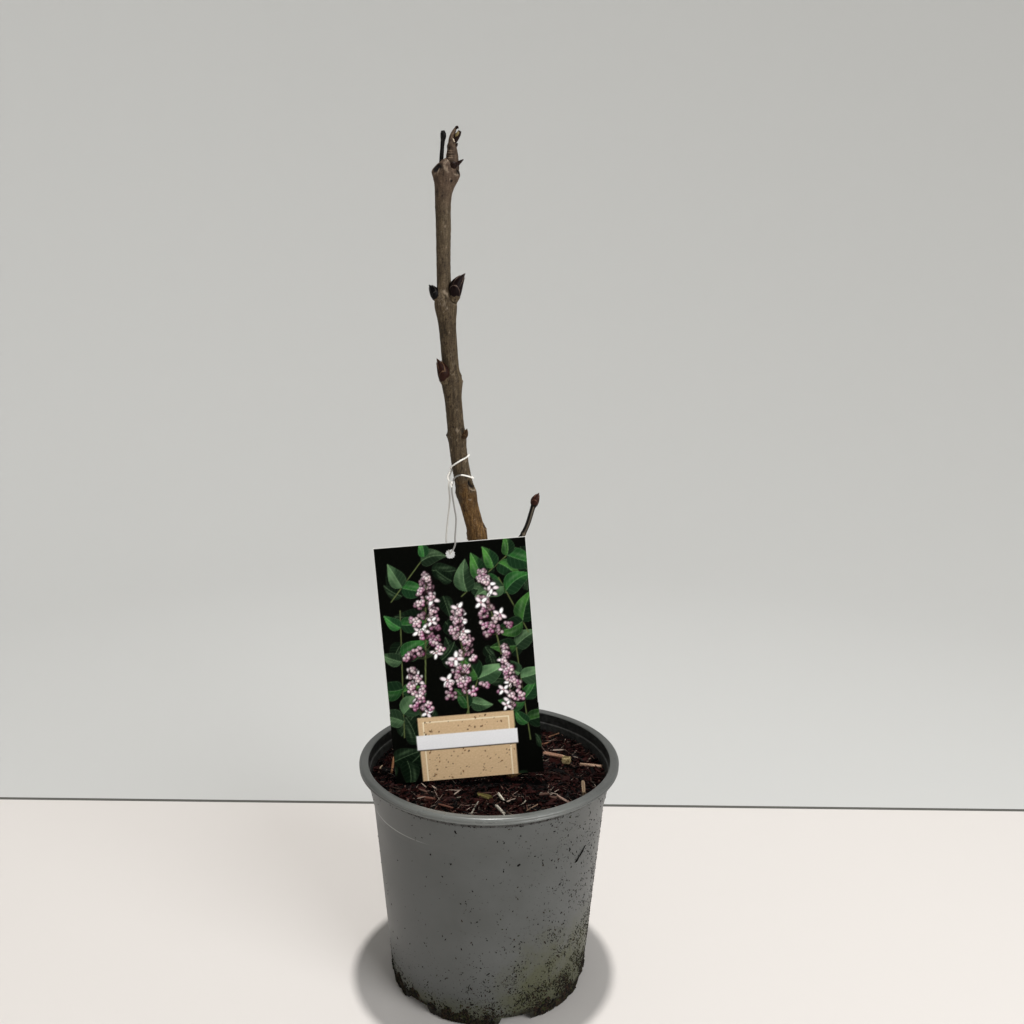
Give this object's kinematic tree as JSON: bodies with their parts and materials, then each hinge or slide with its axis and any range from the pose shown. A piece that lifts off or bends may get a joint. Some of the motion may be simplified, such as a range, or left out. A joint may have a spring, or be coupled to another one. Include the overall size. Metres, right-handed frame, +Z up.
{
  "type": "potted lilac bush",
  "caption": "Young bare lilac with a leaning stem, paired buds, a side shoot and a picture label on an elastic, growing in a grey nursery pot of bark compost.",
  "frame": {"origin": "centre of the pot's flat underside, on the plane it stands on", "axes": "+Z up along the pot's axis; +X to the right as the label is read; -Y is the side that the label faces"},
  "size_m": [0.1692, 0.1692, 0.5406],
  "materials": {
    "pot_plastic": "satin grey moulded plastic, scuffed and dusty",
    "bark_compost": "dark damp shredded bark",
    "bark": "matt grey-brown bark with fine fissures and pale pores",
    "dead_wood": "matt blackened dead wood",
    "bud_scales": "dark purple-brown bud scales, slightly glossy",
    "label_card": "gloss printed card with a floral picture and a brown panel",
    "elastic": "white elastic thread",
    "bark_chip": "pale split bark and wood chips"
  },
  "bodies": {
    "root": {"pot": "pot_plastic", "compost": "bark_compost", "main_stem": "bark", "bud_upper_right": "bud_scales", "bud_upper_left": "bud_scales", "bud_middle_left": "bud_scales", "bud_lower_right": "bud_scales", "dead_stub": "dead_wood", "tip_sprig": "bark", "side_shoot": "dead_wood", "side_bud": "bud_scales", "label_card": "label_card", "label_elastic": "elastic", "chip_long": "bark_chip", "chip_square": "bark_chip", "chip_split": "bark_chip", "chip_upright": "bark_chip", "chip_olive": "bark_chip"}
  },
  "joints": []
}
